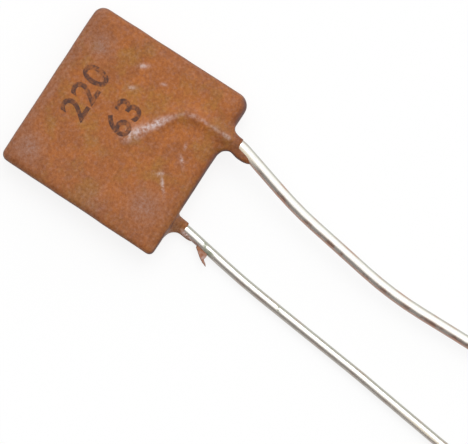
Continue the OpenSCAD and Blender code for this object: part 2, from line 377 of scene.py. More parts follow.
def walk(start, heading, steps, pace):
    """Points and headings along straights and bends, each step a straight, a turn and a radius."""
    x, y = start
    stops = [(x, y, heading)]
    for straight, turn, radius in steps:
        count = max(1, round(straight / pace))
        for _ in range(count):
            x += math.cos(heading) * straight / count
            y += math.sin(heading) * straight / count
            stops.append((x, y, heading))
        count = math.ceil(abs(turn) / BEND_STEP)
        for _ in range(count):
            part = turn / count
            chord = 2 * radius * math.sin(abs(part) / 2)
            x += math.cos(heading + part / 2) * chord
            y += math.sin(heading + part / 2) * chord
            heading += part
            stops.append((x, y, heading))
    return stops


def inner_run(wire, side):
    """Start, heading and steps of a wire's inside stretch, from its tail end out to the seating edge."""
    lean = wire.entry_turn
    across = wire.entry_radius * (1 - math.cos(lean)) + wire.tail * math.sin(lean)
    along = wire.entry + wire.entry_radius * math.sin(lean) + wire.tail * math.cos(lean)
    start = (side * (wire.pitch / 2 - across), along)
    steps = [(wire.tail, -side * lean, wire.entry_radius), (wire.entry, 0, 0)]
    return start, -math.pi / 2 + side * lean, steps


# Finishes

# Noises of the lacquer: shift in metres, size in millimetres, detail, roughness and any twist
LACQUER_NOISES = {
    "broad": ((0, 0, 0), 2.6, 3, 0.5),
    "patch": ((0.013, 0.021, 0.005), 1.3, 4, 0.6, 0.6),
    "cloudy": ((0.031, 0.007, 0.011), 1.9, 4, 0.62),
    "grain": ((0, 0, 0), 0.2, 4, 0.65),
    "speck": ((0.002, 0.017, 0.009), 0.11, 2, 0.5),
    "fleck": ((0.019, 0.003, 0.027), 0.26, 3, 0.6),
    "spark": ((0.011, 0.009, 0.033), 0.1, 2, 0.5),
    "blotch": ((0.006, 0.029, 0.014), 0.42, 3, 0.6),
}
# Colours over the lacquer: their noise, where it starts to show, where it is full, strength and colour
LACQUER_PATCHES = (
    ("broad", 0.42, 0.58, 0.3, "lacquer_dark_and_shade"),
    ("patch", 0.4, 0.66, 0.8, "lacquer_warm"),
    ("cloudy", 0.48, 0.68, 0.75, "lacquer_ochre"),
)
LACQUER_FLECKS = (
    ("fleck", 0.46, 0.68, 0.055, "chalk"),
    ("spark", 0.55, 0.7, 0.3, "lacquer_warm"),
)
LACQUER_SPECKS = (("speck", 0.62, 0.74, 0.45, "lacquer_dark_and_shade"),)
# Shares of the ochre where the coat is thin, of the grain, and of the chalk between its blotches
THIN_SHARE = 0.5
GRAIN_SHARE = 0.8
LEAST_CHALK = 0.15
# How dark the dark side of a grain is, inside the coat
GRAIN_DARK = 0.72


def new_finish(name):
    """A material, its node tree and its shader."""
    material = bpy.data.materials.new(name)
    material.use_nodes = True
    return material, material.node_tree, material.node_tree.nodes["Principled BSDF"]


def fill(tree, node, sockets):
    """Fills a node's sockets with values or links."""
    for socket, value in sockets.items():
        if isinstance(value, bpy.types.NodeSocket):
            tree.links.new(value, node.inputs[socket])
        else:
            node.inputs[socket].default_value = value


def put(tree, kind, sockets, **settings):
    """Adds a node, sets it and fills its sockets."""
    made = tree.nodes.new("ShaderNode" + kind)
    for key, value in settings.items():
        setattr(made, key, value)
    fill(tree, made, sockets)
    return made


def place_of(tree):
    """Object coordinates."""
    return put(tree, "TexCoord", {}).outputs["Object"]


def noise(tree, coords, size, detail=2.0, rough=0.5, twist=0.0):
    """Soft noise with features of about that size in millimetres."""
    sockets = {"Vector": coords, "Scale": 1 / (size * MM), "Detail": detail}
    sockets |= {"Roughness": rough, "Distortion": twist}
    return put(tree, "TexNoise", sockets).outputs["Fac"]


def moved(tree, coords, shift):
    """The same coordinates, shifted, so that a second noise doesn't repeat the first."""
    return put(tree, "VectorMath", {0: coords, 1: shift}, operation="ADD").outputs["Vector"]


def band(tree, value, low, high, reach=1.0, base=0.0, curve="SMOOTHSTEP"):
    """A number that goes from base, below low, to reach, above high."""
    sockets = {"Value": value, "From Min": low, "From Max": high, "To Min": base, "To Max": reach}
    return put(tree, "MapRange", sockets, interpolation_type=curve).outputs["Result"]


def sums(tree, operation, first, second):
    """One arithmetic step."""
    return put(tree, "Math", {0: first, 1: second}, operation=operation).outputs["Value"]


def stored(tree, name):
    """A number kept on the vertices."""
    return put(tree, "Attribute", {}, attribute_name=name).outputs["Fac"]


def over(tree, share, under, upper, mode="MIX"):
    """Lays one colour over another, through the mix node's colour sockets."""
    made = put(tree, "Mix", {0: share, 6: under, 7: upper}, data_type="RGBA", blend_type=mode)
    return made.outputs[2]


def relief(tree, shader, height, depth, strength):
    """Bumps the shader by a height of that depth in millimetres."""
    sockets = {"Height": height, "Distance": depth * MM, "Strength": strength}
    tree.links.new(put(tree, "Bump", sockets).outputs["Normal"], shader.inputs["Normal"])


def dapple(tree, tint, noises, layers, finishes):
    """Lays colours over a tint where their noises run high."""
    for name, low, high, reach, finish in layers:
        tint = over(tree, band(tree, noises[name], low, high, reach), tint, getattr(finishes, finish))
    return tint


def lacquer_finish(finishes):
    """Mottled satin lacquer, dull and chalky where it is worn, with painted shade on its edges, its borders
    and its left side.
    """
    material, tree, shader = new_finish("dipped_lacquer")
    coords = place_of(tree)
    noises = {}
    for name, (shift, *settings) in LACQUER_NOISES.items():
        noises[name] = noise(tree, moved(tree, coords, shift), *settings)
    grain, patch = noises["grain"], noises["patch"]
    tint = dapple(tree, finishes.lacquer, noises, LACQUER_PATCHES, finishes)
    thin = sums(tree, "MULTIPLY", stored(tree, "thin"), THIN_SHARE)
    tint = over(tree, thin, tint, finishes.lacquer_ochre)
    # Painted shade: darker lacquer near the borders, to the left, low down and on the front collar
    tint = over(tree, stored(tree, "dusk"), tint, finishes.lacquer_dark_and_shade)
    bloom = sums(tree, "MULTIPLY", stored(tree, "haze"), band(tree, grain, 0.22, 0.6))
    tint = over(tree, bloom, tint, finishes.haze)
    tint = dapple(tree, tint, noises, LACQUER_FLECKS, finishes)
    grey = put(tree, "CombineColor", {0: grain, 1: grain, 2: grain}).outputs[0]
    tint = over(tree, GRAIN_SHARE, tint, grey, "SOFT_LIGHT")
    tint = dapple(tree, tint, noises, LACQUER_SPECKS, finishes)
    # Painted shade along the edges where the front turns over, broken up by the patch noise
    rim = sums(tree, "MULTIPLY", stored(tree, "rim"), band(tree, patch, 0.0, 0.45))
    tint = over(tree, rim, tint, finishes.rim)
    blotches = band(tree, sums(tree, "ADD", grain, noises["blotch"]), 0.78, 1.16, 1 - LEAST_CHALK)
    scuffed = sums(tree, "MULTIPLY", stored(tree, "chalk"), sums(tree, "ADD", blotches, LEAST_CHALK))
    tint = over(tree, scuffed, tint, finishes.chalk)
    rough = band(tree, noises["cloudy"], 0.3, 0.7, reach=0.58, base=0.42, curve="LINEAR")
    fill(tree, shader, {"Base Color": tint, "Roughness": rough, "Specular IOR Level": 0.25})
    height = sums(tree, "ADD", sums(tree, "MULTIPLY", patch, 0.6), sums(tree, "MULTIPLY", grain, 0.4))
    relief(tree, shader, height, depth=0.08, strength=0.35)
    return material


def wire_finish(name, finishes, tarnish_and_shade, copper):
    """Drawn tinned wire with painted shade down its left flank and along its right edge, with some share of
    copper showing there.
    """
    material, tree, shader = new_finish(name)
    coords = place_of(tree)
    lines = put(tree, "CombineXYZ", {0: stored(tree, "around"), 1: stored(tree, "along"), 2: 0.0})
    sockets = {"Vector": lines.outputs[0], "Scale": 2.2, "Detail": 3.0, "Roughness": 0.6}
    drawn = put(tree, "TexNoise", sockets).outputs["Fac"]
    spots = noise(tree, coords, size=0.7, detail=3, rough=0.6)
    # Painted shade: duller tin down the left flank, a band low on the left that is partly tarnish and partly
    # painted shade, and a darker line along the right edge
    flank = stored(tree, "flank")
    tint = over(tree, sums(tree, "MULTIPLY", flank, 0.6), finishes.tin, finishes.shaded_tin)
    tint = over(tree, stored(tree, "under"), tint, tarnish_and_shade)
    patches = noise(tree, moved(tree, coords, (0.007, 0.004, 0.012)), size=1.6, detail=3)
    worn = band(tree, patches, 0.44, 0.68, 0.8 * copper)
    tint = over(tree, stored(tree, "edge"), tint, over(tree, worn, finishes.edge_shade_tin, finishes.copper))
    upper = sums(tree, "SUBTRACT", flank, sums(tree, "MULTIPLY", stored(tree, "under"), 0.6))
    bare = band(tree, noise(tree, coords, size=0.9, detail=3), 0.48, 0.66, copper)
    tint = over(tree, sums(tree, "MULTIPLY", upper, bare), tint, finishes.copper)
    metal = 1.0
    # Matt marks: dried flux and stains, and pale frost strips that are a painted highlight
    for mark, matt in (("smear", finishes.smear), ("stain", finishes.haze), ("frost_highlight", finishes.frost_highlight)):
        share = stored(tree, mark)
        tint = over(tree, share, tint, matt)
        metal = sums(tree, "SUBTRACT", metal, share)
    rough = band(tree, spots, 0.3, 0.7, reach=0.26, base=0.14, curve="LINEAR")
    fill(tree, shader, {"Base Color": tint, "Metallic": metal, "Roughness": rough})
    relief(tree, shader, sums(tree, "ADD", drawn, spots), depth=0.02, strength=0.25)
    return material


def ink_finish(finishes):
    """Stamped ink, rubbed through to the lacquer in places."""
    material, tree, shader = new_finish("worn_ink")
    coords = place_of(tree)
    rubbed = noise(tree, coords, size=0.42, detail=4, rough=0.65)
    grain = noise(tree, coords, size=0.12, detail=3, rough=0.6)
    wear = band(tree, sums(tree, "ADD", rubbed, sums(tree, "MULTIPLY", grain, 0.5)), 0.6, 0.98, 0.86)
    tint = over(tree, wear, finishes.ink, finishes.lacquer)
    fill(tree, shader, {"Base Color": tint, "Roughness": 0.6, "Specular IOR Level": 0.3})
    relief(tree, shader, grain, depth=0.03, strength=0.3)
    return material


def inner_finish(name, tint, metal, rough):
    """A fired or metal surface inside the coat, with a fine grain."""
    material, tree, shader = new_finish(name)
    grain = noise(tree, place_of(tree), size=0.25, detail=4, rough=0.6)
    dark = [*(GRAIN_DARK * part for part in tint[:3]), 1.0]
    grained = over(tree, band(tree, grain, 0.35, 0.7), dark, tint)
    fill(tree, shader, {"Base Color": grained, "Metallic": metal, "Roughness": rough})
    relief(tree, shader, grain, depth=0.02, strength=0.3)
    return material


# Pieces

# Scuffs of the front face in millimetres: middle, direction, half length, half width and strength
SCUFFS = (
    (4.02, 7.1, -57, 0.36, 0.14, 0.6),
    (3.79, 5.33, -57, 0.2, 0.1, 0.5),
    (2.41, 6.97, 120, 0.3, 0.14, 0.4),
    (-1.67, 1.9, 40, 0.55, 0.09, 0.7),
    (-1.2, 2.4, 130, 0.25, 0.1, 0.6),
    (0.26, 1.67, 45, 0.38, 0.1, 0.5),
    (1.19, 2.0, 20, 0.2, 0.1, 0.35),
    (-3.57, -1.2, 80, 0.45, 0.15, 0.95),
)
# Chalk along the ridge: share of the way from the tail's end to the seating edge, and strength
RIDGE_CHALK = (
    (0, 0.4), (0.03, 0.6), (0.1, 0.65), (0.2, 0.8), (0.33, 0.95), (0.37, 0.7), (0.42, 0.4),
    (0.48, 0.2), (0.55, 0.2), (0.62, 0.28), (0.75, 0.26), (0.93, 0.25), (0.965, 0.6), (1, 0.45),
)
# Half width of that chalk, by the same share
CHALK_WIDTH = ((0, 0.36), (0.12, 0.34), (0.2, 0.24), (0.33, 0.23), (0.5, 0.12))
# Hazy patches of the front face: middle, radius and strength
HAZES = ((3.6, 10.1, 0.8, 0.85), (-4.35, 10.4, 1.0, 0.8), (-3.5, 2.1, 1.1, 0.75), (-5.0, 5.0, 1.2, 0.3))
# Strength of the haze, the painted rim shade and the painted shade of darker lacquer by where they lie, and
# what walls lose of the rim shade
HAZE = SimpleNamespace(left=0.08, top=0.35)
RIM_SHADE = SimpleNamespace(all=0.4, left=0.35, seat=0.85, wall_loss=0.8)
DUSK_SHADE = SimpleNamespace(border=0.3, right=0.2, left=0.1, seat=0.1, collar=0.45)
# Half width of the gap that each lead's collar leaves in the painted shade along the seating edge's rim
COLLAR_GAP = 0.9


def distance_along(places, stops):
    """Plan distance of points from a walked line, and the share of its length that they lie at."""
    line = np.array([(x, y) for x, y, _ in stops])
    runs = runs_of(line)
    nearest = np.full(len(places), np.inf)
    share = np.zeros(len(places))
    for i in range(len(line) - 1):
        leg = line[i + 1] - line[i]
        t = np.clip((places[:, :2] - line[i]) @ leg / (leg @ leg), 0, 1)
        gap = np.linalg.norm(places[:, :2] - line[i] - t[:, None] * leg, axis=1)
        closer = gap < nearest
        nearest[closer] = gap[closer]
        share[closer] = (runs[i] + t[closer] * (runs[i + 1] - runs[i])) / runs[-1]
    return nearest, share


def chalk_on(places, wire):
    """Chalk along the front's ridge and in its scuffs."""
    x, y, _ = places.T
    gap, share = distance_along(places, walk(*inner_run(wire, 1), wire.pace))
    fade = np.interp(share, *zip(*RIDGE_CHALK))
    chalk = fade * np.exp(-((gap / np.interp(share, *zip(*CHALK_WIDTH))) ** 2))
    for mid_x, mid_y, lean, half_l, half_w, strength in SCUFFS:
        turn = math.radians(lean)
        along = (x - mid_x) * math.cos(turn) + (y - mid_y) * math.sin(turn)
        across = (y - mid_y) * math.cos(turn) - (x - mid_x) * math.sin(turn)
        chalk = np.maximum(chalk, strength * np.exp(-((along / half_l) ** 2) - (across / half_w) ** 2))
    return chalk


def haze_on(places):
    """Haze in patches, a trace of it towards the left and a band of it along the top."""
    x, y, _ = places.T
    haze = np.zeros(len(places))
    for mid_x, mid_y, radius, strength in HAZES:
        gap = np.hypot(x - mid_x, y - mid_y)
        haze = np.maximum(haze, strength * np.exp(-((gap / radius) ** 2)))
    haze = np.maximum(haze, HAZE.left * ease(-x, -1, 5))
    return np.maximum(haze, HAZE.top * ease(y, 10.7, 11.2))


def rim_on(places, normals, wire):
    """Painted shade where the front turns over, most along the seating edge and least on the side walls."""
    x, y, z = places.T
    steep = 1 - np.abs(normals[:, 2])
    away = ease(-normals[:, 0], 0.3, 0.9)
    rim = ease(steep, 0.4, 0.8) * (RIM_SHADE.all + RIM_SHADE.left * away)
    low = ease(-normals[:, 1], 0.15, 0.5)
    for lead_x in (-wire.pitch / 2, wire.pitch / 2):
        low *= 1 - np.exp(-(((x - lead_x) / COLLAR_GAP) ** 4))
    low = np.maximum(low, away * (y < 0.3))
    rim = np.maximum(rim, RIM_SHADE.seat * ease(steep, 0.06, 0.7) * low)
    wall = ease(steep, 0.8, 0.97)
    return rim * (1 - RIM_SHADE.wall_loss * wall) * ease(z, -0.2, 0.4)


def dusk_on(places, normals, at_seat):
    """Painted shade: darker lacquer near the borders, on what faces right, to the left, low down and on a
    collar.
    """
    x, y, _ = places.T
    border = np.minimum(x - x.min(), x.max() - x)
    border = np.minimum(border, np.minimum(np.maximum(y, 0), y.max() - y))
    dusk = DUSK_SHADE.border * (1 - ease(border, 0.3, 2.2))
    dusk += DUSK_SHADE.right * ease(normals[:, 0], 0.1, 0.6)
    dusk += DUSK_SHADE.left * ease(-x, -1.5, 4.5) + DUSK_SHADE.seat * at_seat
    dusk += DUSK_SHADE.collar * ease(-y, 0, 0.8) * (x > 0)
    return dusk


def wear_coat(piece, wire):
    """Marks where the lacquer is chalky, hazy or thin, and where painted shade makes it dark."""
    places, normals = mesh_points(piece)
    at_seat = 1 - ease(places[:, 1], -0.3, 1.0)
    keep_values(
        piece,
        chalk=chalk_on(places, wire) * ease(normals[:, 2], 0.3, 0.8),
        haze=haze_on(places),
        rim=rim_on(places, normals, wire),
        dusk=dusk_on(places, normals, at_seat),
        thin=at_seat * (places[:, 0] < 0),
    )


class CAPACITOR_OT_lacquer_coat(Operator):
    """Model the dipped lacquer body with its ridges, collars and run-outs"""

    bl_idname = "capacitor.lacquer_coat"
    bl_label = "Lacquer Coat"

    # How far from a wire the lacquer flows fully and stops flowing, and the height where it starts to
    FLOW_NEAR = 0.9
    FLOW_FAR = 1.6
    FLOW_LEVEL = 0.5

    def slab(self, coat, half_w, low_y, high_y, face_z):
        """The square body, its corners rounded as the lacquer rounded them."""
        corners = (
            (-1, half_w, low_y),
            (-1, half_w - coat.taper, high_y),
            (1, half_w - coat.taper, high_y),
            (1, half_w, low_y),
        )
        balls = []
        for (side, reach, y), radius in zip(corners, coat.corners):
            inset_y = y + radius if y == low_y else y - radius
            for level in (-1, 1):
                balls.append(((side * (reach - radius), inset_y, level * (face_z - radius)), radius))
        hull_of_balls(balls)

    def ridge(self, coat, wire, side):
        """The ridge over a wire, on the front for side 1 and on the back for side -1."""
        level = side * (coat.crest - coat.ridge)
        start, heading, steps = inner_run(wire, side)
        stops = walk(start, heading, steps, wire.pace)
        ring_across((*start, level), heading, coat.ridge, RIDGE_SIDES)
        for (x0, y0, h0), (x1, y1, h1) in zip(stops, stops[1:]):
            draw_out((x1 - x0, y1 - y0, 0), h1 - h0, 1.0, (x1, y1, level))
        close_ends()
        bpy.ops.mesh.hide(unselected=False)
        hull_of_balls([((*start, level), coat.ridge)])

    def flared(self, coat, wire, side, root, end):
        """A concave flare down a lead; root and end are an offset to the left, a height and a radius."""
        rings = []
        for i in range(-1, COLLAR_SLICES + 1):
            u = max(i, 0) / COLLAR_SLICES
            flare = 1 - math.sqrt(1 - (1 - u) ** 2)
            offset, level, radius = (b + (a - b) * flare for a, b in zip(root, end))
            y = coat.collar if i < 0 else -u * coat.collar
            rings.append((Vector((side * wire.pitch / 2 - offset, y, side * level)), -math.pi / 2, radius))
        sweep(rings, RIDGE_SIDES)
        close_ends()
        bpy.ops.mesh.hide(unselected=False)

    def collar(self, coat, wire, side, gauge, root_r, runout_root, face_z):
        """The collar round a lead, the web in the corner on its left and the ramp from the far edge."""
        end_r = gauge / 2 + coat.collar_lip
        self.flared(coat, wire, side, (0.0, wire.height + end_r - root_r, root_r), (0.0, wire.height, end_r))
        web = (coat.web_reach - coat.web, face_z - coat.web - coat.collar_lip, coat.web)
        half_t = coat.runout_t / 2
        self.flared(coat, wire, side, web, (runout_root - half_t, wire.height, half_t))
        x = side * wire.pitch / 2
        ring_across((x, -coat.ramp, side * wire.height), -math.pi / 2, end_r, RIDGE_SIDES)
        hull_of_balls([((x, root_r, side * (root_r - face_z)), root_r - coat.collar_lip)])

    def soften_ridges(self, piece, wire):
        """Lets the lacquer flow out on both sides of the ridges."""
        places, _ = mesh_points(piece)
        soft = np.zeros(len(places))
        for side in (1, -1):
            gap, _ = distance_along(places, walk(*inner_run(wire, side), wire.pace))
            near = ease(-gap, -self.FLOW_FAR, -self.FLOW_NEAR)
            soft = np.maximum(soft, near * (side * places[:, 2] > self.FLOW_LEVEL))
        group = piece.vertex_groups.new(name="soft")
        for index in np.flatnonzero(soft * ease(places[:, 1], 0.3, 0.9)):
            group.add([int(index)], float(soft[index]), "REPLACE")
        modify(piece, "SMOOTH", factor=0.5, iterations=45, vertex_group=group.name)
        piece.vertex_groups.clear()

    def runout(self, coat, x, level, reach, root_w, width):
        """A run-out of lacquer down the left side of a lead."""
        half_t = coat.runout_t / 2
        side_x = x - width + half_t
        plan = (
            (x, 0),
            (x - root_w + half_t, -coat.collar / 2),
            (side_x, -coat.runout_swell),
            (side_x, coat.runout_nose - reach),
        )
        tip_r = coat.runout_tip / 2
        balls = [((*place, level), half_t) for place in plan]
        hull_of_balls([*balls, ((side_x - tip_r, tip_r - reach, level), tip_r)])

    def execute(self, context):
        coat = on_bench(context.scene.coat_sizes)
        wire = on_bench(context.scene.wire_sizes)
        half_w = PLATE_HIGH.x / MM + coat.edge
        low_y = PLATE_LOW.y / MM - coat.edge
        high_y = PLATE_HIGH.y / MM + coat.edge
        piece = start_piece("lacquer_body")
        face_z = FILM_TOP / MM + coat.face
        self.slab(coat, half_w, low_y, high_y, face_z)
        gauges = (wire.front_gauge, wire.gauge)
        for side, gauge, root_r, reach, root_w, width in zip(
            (1, -1), gauges, coat.collar_root, coat.runout, coat.runout_root, coat.runout_w
        ):
            self.ridge(coat, wire, side)
            self.collar(coat, wire, side, gauge, root_r, root_w, face_z)
            self.runout(coat, side * wire.pitch / 2, side * wire.height, reach, root_w, width)
        bpy.ops.mesh.reveal(select=True)
        stop_editing()
        modify(piece, "REMESH", mode="VOXEL", voxel_size=coat.skin)
        modify(piece, "SMOOTH", factor=0.5, iterations=6)
        self.soften_ridges(piece, wire)
        roughen(piece, "skin_sag", size=1.8, depth=coat.sag)
        bpy.ops.object.shade_smooth()
        wear_coat(piece, wire)
        to_metres(piece)
        seat(piece, lacquer_finish(context.scene.finishes), "lacquer", "lacquer_coat")
        return {"FINISHED"}


class CAPACITOR_OT_wire_leads(Operator):
    """Draw the two tinned leads along their bends"""

    bl_idname = "capacitor.wire_leads"
    bl_label = "Wire Leads"

    # Matt marks on the leads, dried flux and stains and pale frost strips of painted highlight: distance
    # out, half length, slant, and the reach across from left to right
    FRONT_MARKS = {"smear": (), "stain": (), "frost_highlight": ((1.3, 1.0, 0.0, -0.85, -0.05),)}
    BACK_MARKS = {
        "smear": (
            (3.0, 0.35, 0.1, -1.0, 0.25),
            (2.52, 0.15, -0.25, -0.8, 0.9),
            (8.75, 0.09, -0.25, -0.4, 0.7),
        ),
        "stain": ((1.9, 0.45, 0.0, -1.3, -0.4),),
        "frost_highlight": ((21.5, 3.0, 0.0, -0.52, -0.05),),
    }
    # How softly those marks end, in radii of the wire
    MARK_EDGE = 0.2
    # Fineness of the drawn lines around a wire, and the bevel and width of its cut end
    LINES_AROUND = 3
    CUT_BEVEL = 0.05
    CUT_WIDTH = 0.8

    def route(self, wire, side, straights, turns, radii, dip):
        """Centre line of a lead from its tail end to its free end, as places with headings."""
        start, heading, steps = inner_run(wire, side)
        outside = [(s, -t, r) for s, t, r in zip(straights, turns, radii)]
        used = sum(s + abs(t) * r for s, t, r in outside)
        stops = walk(start, heading, [*steps, *outside, (wire.reach - used, 0, 0)], wire.pace)
        level = side * wire.height
        line = []
        for x, y, heading in stops:
            place = (x, y * math.cos(dip), level + y * math.sin(dip)) if y < 0 else (x, y, level)
            line.append((Vector(place), heading))
        return line

    def note_surface(self, piece, stops, radius, edge_shade_from, marks):
        """Stores how far along and around the wire each vertex lies, where painted shade dulls its flanks
        and right edge, and its marks.
        """
        places, _ = mesh_points(piece)
        line = np.array([place for place, _ in stops])
        headings = np.array([heading for _, heading in stops])
        runs = runs_of(line)
        nearest = np.argmin(np.linalg.norm(places[:, None] - line[None], axis=2), axis=1)
        offset = places - line[nearest]
        point = np.stack([np.cos(headings), np.sin(headings)], axis=1)[nearest]
        along = runs[nearest] + (offset[:, :2] * point).sum(axis=1)
        right = (offset[:, 1] * point[:, 0] - offset[:, 0] * point[:, 1]) / radius
        rise = offset[:, 2] / radius
        # Painted shade: duller tin on the left flank, a band low on the left, and a darker line on the right
        # edge from the given share of the radius
        keep_values(
            piece,
            along=along,
            around=self.LINES_AROUND * np.arctan2(rise, right),
            flank=ease(-right, 0.12, 0.3),
            under=ease(-right, 0.6, 0.76),
            edge=ease(right, edge_shade_from, edge_shade_from + 0.14),
        )
        out = along - runs[np.argmax(line[:, 1] <= 0)]
        for name, rows in marks.items():
            share = np.zeros(len(places))
            for middle, half_l, slant, low, high in rows:
                gap = (out - middle - slant * right) / half_l
                across = ease(right, low, low + self.MARK_EDGE)
                across *= ease(-right, -high, self.MARK_EDGE - high)
                share = np.maximum(share, np.exp(-(gap**2)) * across)
            keep_values(piece, **{name: share})

    def lead(self, wire, name, node, stops, outer_gauge, material, edge_shade_from, marks):
        """Sweeps one lead along its route and cuts its end; its bright side ends, and the painted shade
        along its right edge begins, at the given share of its radius.
        """
        piece = start_piece(name)
        rings = []
        for place, heading in stops:
            rings.append((place, heading, (outer_gauge if place.y < 0 else wire.gauge) / 2))
        sweep(rings, WIRE_SIDES)
        tip, heading = stops[-1]
        point = Vector((math.cos(heading), math.sin(heading), 0))
        bevel = point * self.CUT_BEVEL
        draw_out(bevel, 0.0, self.CUT_WIDTH, tip + bevel)
        close_ends()
        stop_editing()
        roughen(piece, name + "_wobble", size=1.1, depth=wire.wobble)
        bpy.ops.object.shade_smooth_by_angle(angle=math.radians(50))
        self.note_surface(piece, stops, outer_gauge / 2, edge_shade_from, marks)
        to_metres(piece)
        seat(piece, material, "tinned_wire", node)

    def execute(self, context):
        wire = on_bench(context.scene.wire_sizes)
        finishes = context.scene.finishes
        front = self.route(wire, 1, wire.front_straights, wire.front_turns, wire.front_radii, wire.dip)
        back = self.route(wire, -1, wire.back_straights, wire.back_turns, wire.back_radii, 0.0)
        front_tin = wire_finish("front_tin", finishes, finishes.front_tarnish_and_shade, copper=0.75)
        back_tin = wire_finish("back_tin", finishes, finishes.back_tarnish_and_shade, copper=0.25)
        self.lead(
            wire, "front_wire", "front_lead", front, wire.front_gauge, front_tin,
            edge_shade_from=0.68, marks=self.FRONT_MARKS,
        )
        self.lead(
            wire, "back_wire", "back_lead", back, wire.gauge, back_tin, edge_shade_from=0.5, marks=self.BACK_MARKS
        )
        return {"FINISHED"}


class CAPACITOR_OT_lacquer_flake(Operator):
    """Model the broken flake of lacquer that hangs from the back lead"""

    bl_idname = "capacitor.lacquer_flake"
    bl_label = "Lacquer Flake"

    # Outline in plan, from the root on the wire round to the tip and back, in millimetres
    OUTLINE = (
        (-3.66, -2.14), (-3.72, -2.5), (-3.8, -2.92), (-4.0, -3.0), (-4.26, -2.96),
        (-4.44, -3.18), (-4.6, -3.32), (-4.5, -2.98), (-4.3, -2.66), (-4.06, -2.34), (-3.86, -2.08),
    )
    # How far it is lifted, so that its root lies against the wire
    LIFT = 0.12

    def execute(self, context):
        flake = on_bench(context.scene.flake_sizes)
        wire = on_bench(context.scene.wire_sizes)
        piece = start_piece("hanging_flake")
        bpy.ops.mesh.primitive_circle_add(vertices=len(self.OUTLINE), radius=1, fill_type="NGON")
        mesh = bmesh.from_edit_mesh(piece.data)
        level = -wire.height - flake.thickness / 2
        for vertex, (x, y) in zip(mesh.verts, self.OUTLINE):
            vertex.co = (x, y, level + self.LIFT)
        bmesh.update_edit_mesh(piece.data)
        bpy.ops.mesh.extrude_region_move(TRANSFORM_OT_translate={"value": (0, 0, flake.thickness)})
        bpy.ops.mesh.select_all(action="SELECT")
        bpy.ops.mesh.normals_make_consistent(inside=False)
        stop_editing()
        modify(piece, "REMESH", mode="VOXEL", voxel_size=0.035)
        modify(piece, "SMOOTH", factor=0.5, iterations=3)
        roughen(piece, "flake_break", size=0.35, depth=0.06)
        bpy.ops.object.shade_smooth()
        places, normals = mesh_points(piece)
        # Chalk across its middle, haze towards its tip, painted shade on its left edge and a little painted
        # shade all over
        keep_values(
            piece,
            chalk=0.4 * np.exp(-(((places[:, 0] + 4.18) / 0.22) ** 2)),
            haze=np.maximum(0.45, 0.9 * ease(-places[:, 0], 4.0, 4.5)),
            rim=0.5 * ease(-normals[:, 0], 0.2, 0.9),
            dusk=np.full(len(places), 0.1),
        )
        to_metres(piece)
        seat(piece, bpy.data.materials["dipped_lacquer"], "lacquer", "lacquer_flake")
        return {"FINISHED"}


class CAPACITOR_OT_value_marking(Operator):
    """Stamp the value in plain numerals on the front face"""

    bl_idname = "capacitor.value_marking"
    bl_label = "Value Marking"

    # Height that the type is laid down from, and its gap to the skin, in millimetres
    ABOVE = 3
    INK_GAP = 0.004

    def line(self, marking, text, y, name):
        """One line of type, as a fine flat mesh laid over the front face."""
        bpy.ops.object.select_all(action="DESELECT")
        bpy.ops.object.text_add(location=(marking.centre, y, self.ABOVE), rotation=(0, 0, 0))
        piece = bpy.context.object
        piece.name = name
        piece.data.body = text
        piece.data.size = marking.size
        piece.data.offset = marking.weight
        piece.data.space_character = 1.02
        piece.data.align_x = "CENTER"
        piece.data.align_y = "CENTER"
        bpy.ops.object.convert(target="MESH")
        piece = bpy.context.object
        piece.data.name = name
        bpy.ops.object.transform_apply(location=True, rotation=True, scale=True)
        places, _ = mesh_points(piece)
        low, high = places.min(axis=0), places.max(axis=0)
        bpy.ops.object.mode_set(mode="EDIT")
        bpy.ops.mesh.select_all(action="SELECT")
        bpy.ops.mesh.remove_doubles(threshold=0.002)
        for axis, normal in enumerate(((1, 0, 0), (0, 1, 0))):
            for cut in np.arange(low[axis] + marking.grid, high[axis], marking.grid):
                bpy.ops.mesh.select_all(action="SELECT")
                bpy.ops.mesh.bisect(plane_co=(cut, cut, 0), plane_no=normal)
        stop_editing()
        return piece

    def execute(self, context):
        marking = on_bench(context.scene.marking_sizes)
        body = bpy.data.objects["lacquer_body"]
        ink = ink_finish(context.scene.finishes)
        lines = (
            (marking.value, marking.value_y, "value_numerals"),
            (marking.rating, marking.rating_y, "rating_numerals"),
        )
        for text, y, name in lines:
            piece = self.line(marking, text, y, name)
            to_metres(piece)
            modify(
                piece, "SHRINKWRAP", target=body, wrap_method="PROJECT", use_project_z=True,
                use_negative_direction=True, use_positive_direction=False, offset=self.INK_GAP * MM,
            )
            modify(piece, "SOLIDIFY", thickness=marking.ink * MM, offset=1.0)
            bpy.ops.object.shade_smooth_by_angle(angle=math.radians(40))
            seat(piece, ink, "marking_ink")
        return {"FINISHED"}


class CAPACITOR_OT_inner_parts(Operator):
    """Finish the plate, films and solder joints inside the coat"""

    bl_idname = "capacitor.inner_parts"
    bl_label = "Inner Parts"

    def execute(self, context):
        finishes = context.scene.finishes
        ceramic = inner_finish("fired_ceramic", finishes.ceramic, metal=0.0, rough=0.7)
        silver = inner_finish("fired_silver", finishes.silver, metal=0.9, rough=0.45)
        solder = inner_finish("soft_solder", finishes.solder, metal=1.0, rough=0.35)
        for node, material in (
            ("ceramic_plate", ceramic),
            ("front_electrode", silver),
            ("back_electrode", silver),
            ("front_solder_joint", solder),
            ("back_solder_joint", solder),
        ):
            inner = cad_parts[node]
            inner.data.materials.clear()
            inner.data.materials.append(material)
        return {"FINISHED"}


